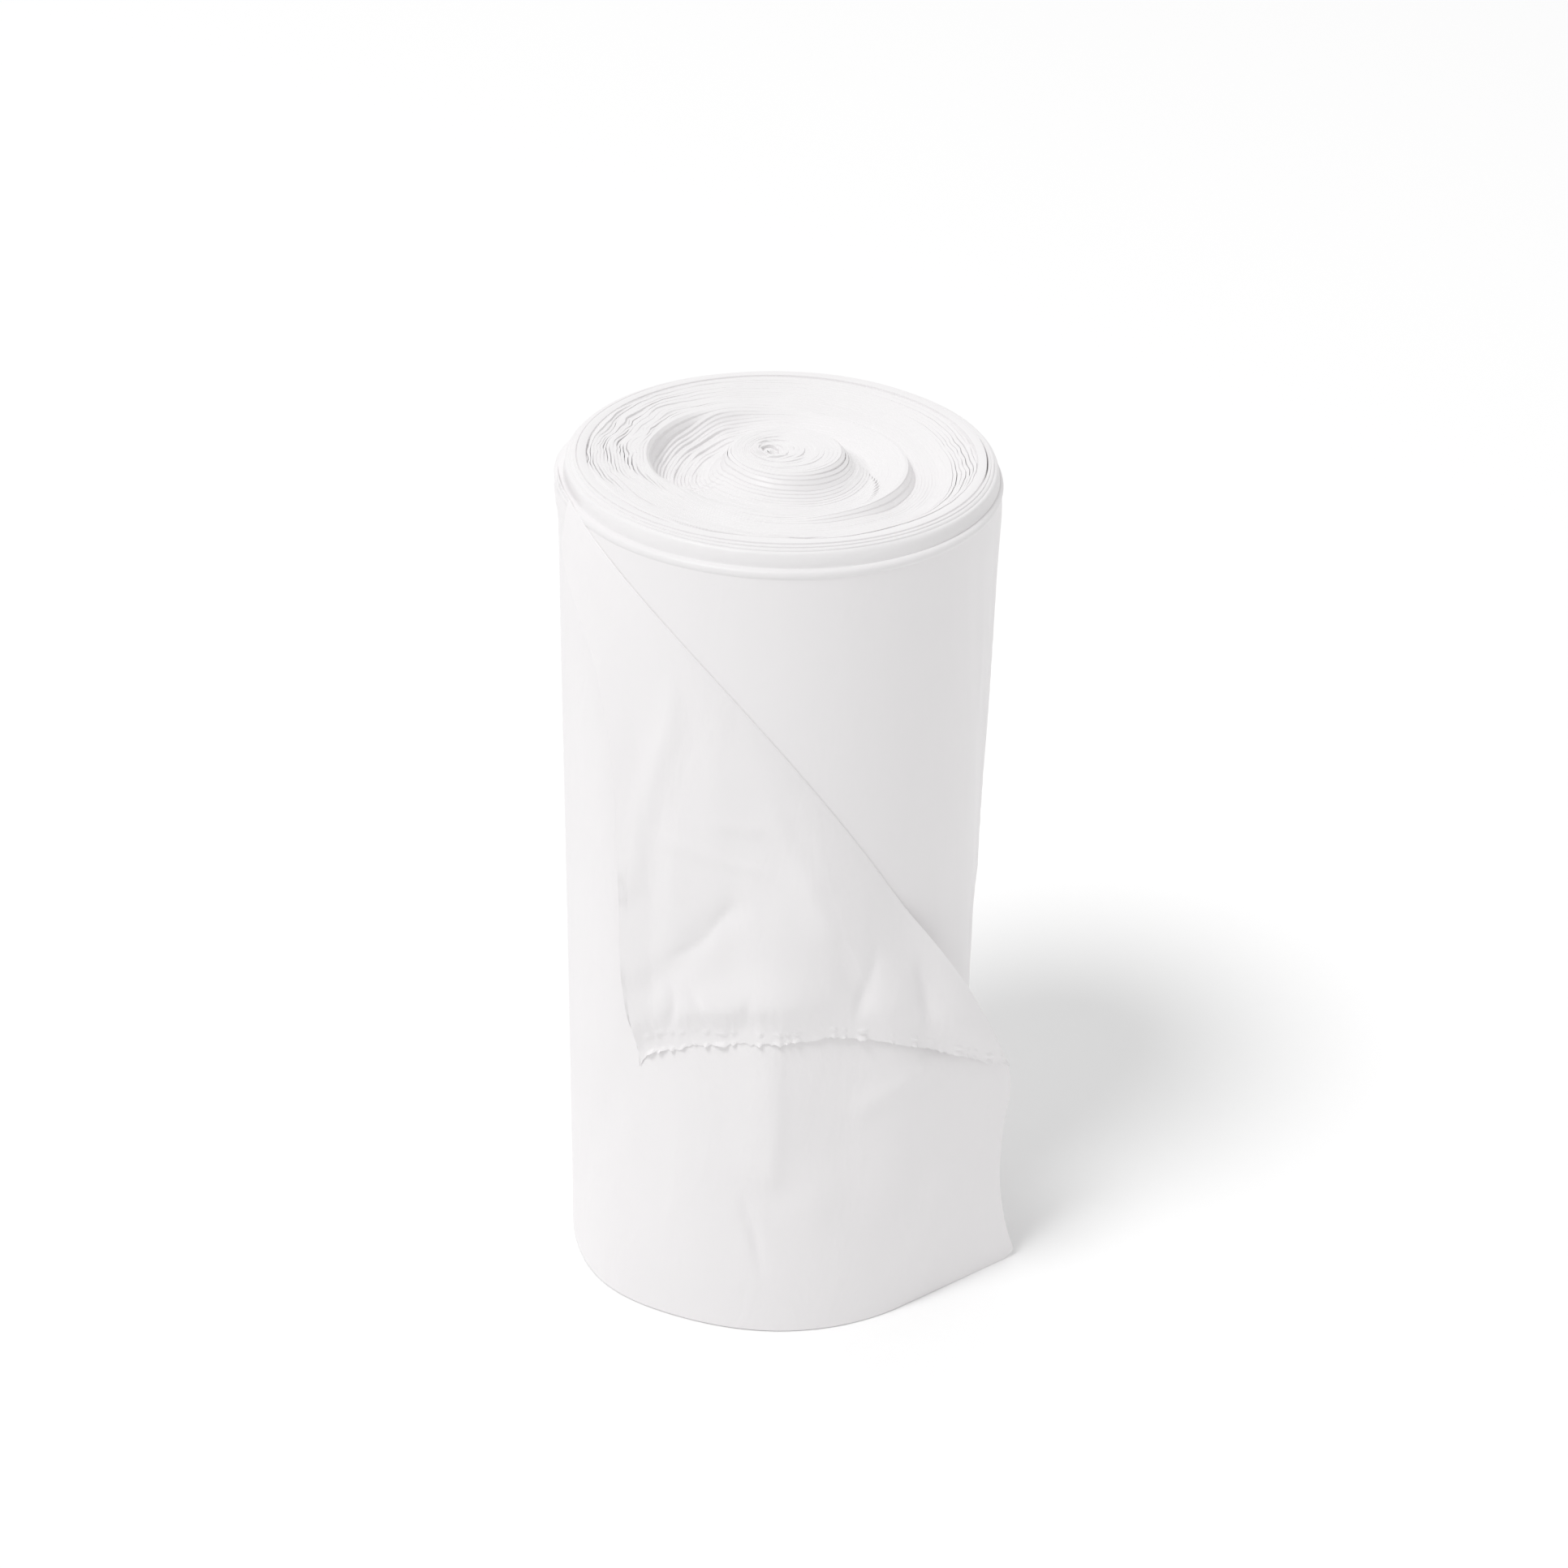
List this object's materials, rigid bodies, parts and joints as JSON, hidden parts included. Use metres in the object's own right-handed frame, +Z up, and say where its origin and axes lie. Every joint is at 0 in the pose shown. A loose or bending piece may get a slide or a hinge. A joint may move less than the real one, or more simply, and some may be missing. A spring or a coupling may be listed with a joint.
{
  "type": "bin bag roll",
  "caption": "Coreless roll of perforated white bin bags standing on end, with its loose end folded over and torn along the perforations.",
  "frame": {"origin": "on the roll's own axis, at the flat lower end that it stands on", "axes": "+Z up along the winding axis, -Y towards the side where the loose end shows, +X towards the side where the loose end stands off"},
  "size_m": [0.1151, 0.1056, 0.2103],
  "materials": {
    "film": "soft sheen of thin white polythene film, slightly translucent at single folds"
  },
  "bodies": {
    "root": {"bag_roll": "film"}
  },
  "joints": []
}
